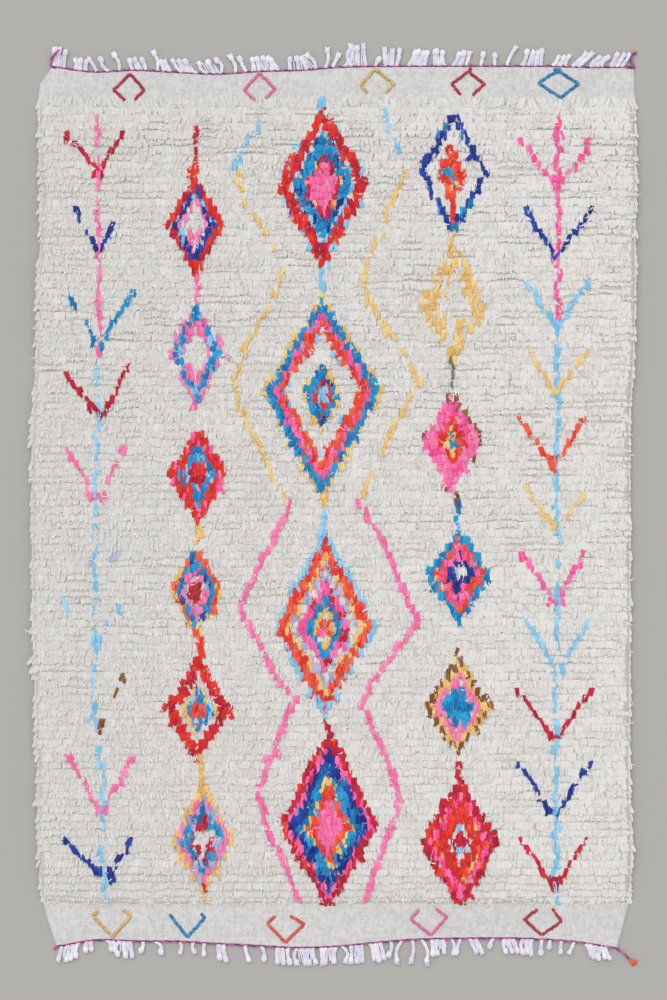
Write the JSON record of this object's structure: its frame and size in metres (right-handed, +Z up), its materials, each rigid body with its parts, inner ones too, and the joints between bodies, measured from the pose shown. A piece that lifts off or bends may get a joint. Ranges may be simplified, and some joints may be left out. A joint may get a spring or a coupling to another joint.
{
  "type": "hand-knotted rug",
  "caption": "Shaggy knotted wool floor rug lying flat, with flat-woven ends, a twined yarn and knotted fringe at each end, and bright diamond and branch motifs on ivory.",
  "frame": {"origin": "on the flat underside, in the middle of the field", "axes": "+Z up out of the pile, +Y along the warps to the top end, +X to the right selvedge"},
  "size_m": [1.6905, 2.5462, 0.0258],
  "materials": {
    "ivory_wool": "hand-spun wool pile, natural ivory, soft lustre",
    "twined_yarn": "twined wool yarn, raspberry and indigo",
    "dyed_wool": "dyed wool yarn in clear bright colours, soft matt",
    "fringe_warp": "plied wool warp, undyed, slightly lustrous"
  },
  "bodies": {
    "root": {"rug": "ivory_wool", "twine_top": "twined_yarn", "twine_bottom": "twined_yarn", "twine_tassel": "dyed_wool", "fringe_top": "fringe_warp", "fringe_bottom": "fringe_warp"}
  },
  "joints": []
}
